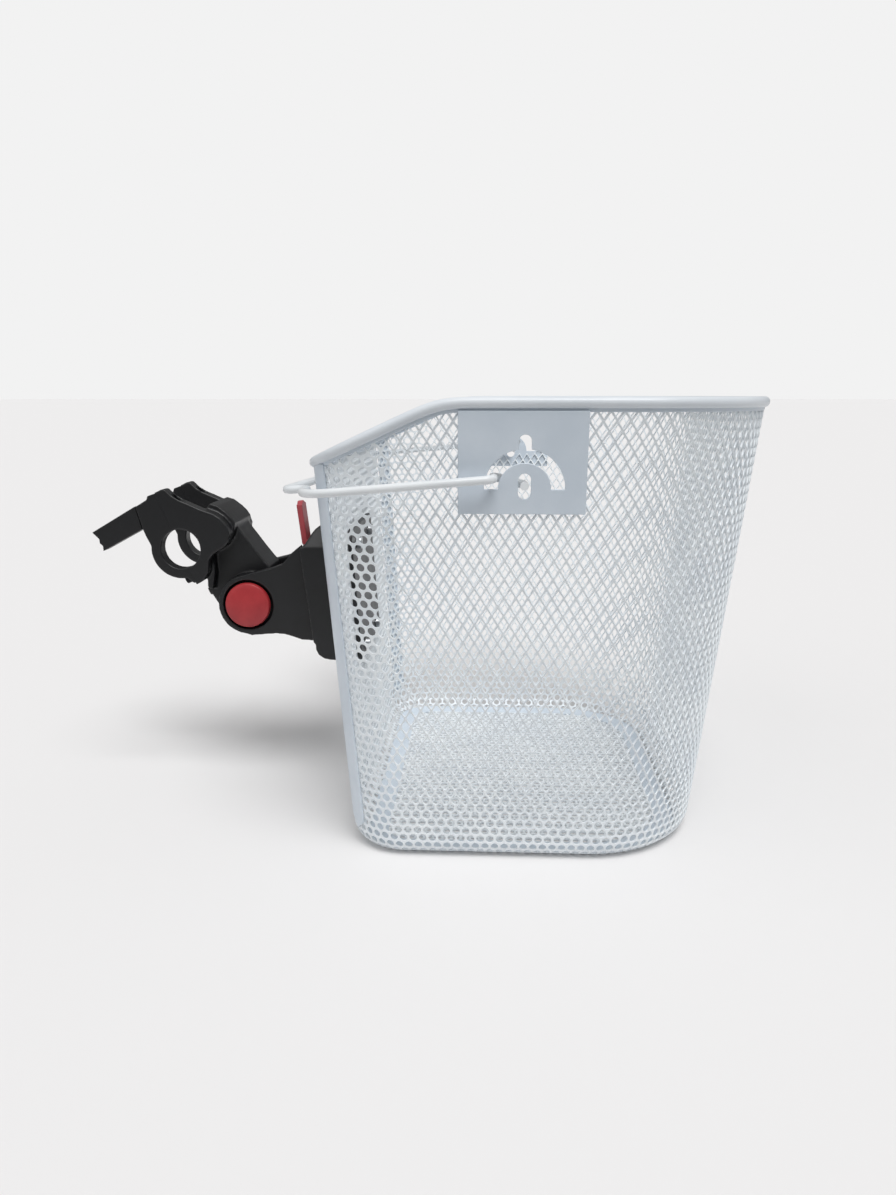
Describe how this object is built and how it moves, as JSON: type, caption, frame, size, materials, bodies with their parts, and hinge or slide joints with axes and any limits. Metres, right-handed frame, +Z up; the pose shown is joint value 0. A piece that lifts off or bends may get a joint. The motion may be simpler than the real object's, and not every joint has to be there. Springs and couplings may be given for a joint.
{
  "type": "bicycle front basket",
  "caption": "Tapered white steel-mesh bicycle basket with a wire bail handle and a black tilting quick-release handlebar bracket at the rear.",
  "frame": {"origin": "bottom centre of the basket floor", "axes": "+X riding direction, away from the handlebar; +Z up; +Y the bicycle's left side"},
  "size_m": [0.4017, 0.3302, 0.252],
  "materials": {
    "white_sheet": "white powder coat on perforated steel",
    "white_wire": "white powder coat on steel wire",
    "black_plastic": "moulded glass-filled nylon",
    "red_button": "smooth red plastic",
    "red_tab": "smooth red plastic",
    "zinc_steel": "zinc-plated steel"
  },
  "bodies": {
    "basket": {"mesh_basket": "white_sheet", "rim_wire": "white_wire", "side_plate_right": "white_sheet", "side_plate_left": "white_sheet", "seam_strip_right": "white_sheet", "seam_strip_left": "white_sheet", "receiver_block": "black_plastic", "inner_plate": "black_plastic", "plate_screws": "zinc_steel", "latch_pin": "zinc_steel", "latch_spring": "zinc_steel"},
    "bail": {"bail_handle": "white_wire"},
    "latch": {"latch_lever": "red_tab"},
    "head": {"head_housing": "black_plastic", "tilt_axle": "zinc_steel", "thrust_washer_right": "zinc_steel", "thrust_washer_left": "zinc_steel", "button_spring_right": "zinc_steel", "button_spring_left": "zinc_steel"},
    "push_button_right": {"button_right": "red_button"},
    "push_button_left": {"button_left": "red_button"},
    "clamp": {"link_arm": "black_plastic", "cap_right": "black_plastic", "cap_left": "black_plastic", "bolt_upper_right": "zinc_steel", "bolt_upper_left": "zinc_steel", "bolt_lower_right": "zinc_steel", "bolt_lower_left": "zinc_steel", "nut_upper_right": "zinc_steel", "nut_upper_left": "zinc_steel", "nut_lower_right": "zinc_steel", "nut_lower_left": "zinc_steel", "stem_brace": "black_plastic", "brace_screw": "zinc_steel"}
  },
  "joints": [
    {"name": "bail_swing", "type": "hinge", "parent": "basket", "child": "bail", "pos_m": [-0.0056, 0, 0.2102], "axis": [0, 1, 0], "range_deg": [0, 150]},
    {"name": "release_slide", "type": "slide", "parent": "basket", "child": "head", "axis": [0.1137, 0, -0.9935], "range_m": [0, 0.06]},
    {"name": "latch_turn", "type": "hinge", "parent": "basket", "child": "latch", "pos_m": [-0.12761, 0, 0.15027], "axis": [0, -1, 0], "range_deg": [0, 14]},
    {"name": "tilt", "type": "hinge", "parent": "head", "child": "clamp", "pos_m": [-0.1772, 0, 0.1205], "axis": [0, 1, 0], "range_deg": [-15, 35]},
    {"name": "button_press_right", "type": "slide", "parent": "head", "child": "push_button_right", "axis": [0, 1, 0], "range_m": [0, 0.0026], "stiffness_N_per_m": 900, "springref_m": -0.002},
    {"name": "button_press_left", "type": "slide", "parent": "head", "child": "push_button_left", "axis": [0, -1, 0], "range_m": [0, 0.0026], "stiffness_N_per_m": 900, "springref_m": -0.002}
  ],
  "couplings": [
    {"joint": "latch_turn", "follows": "release_slide", "rad_per_m": 4}
  ]
}
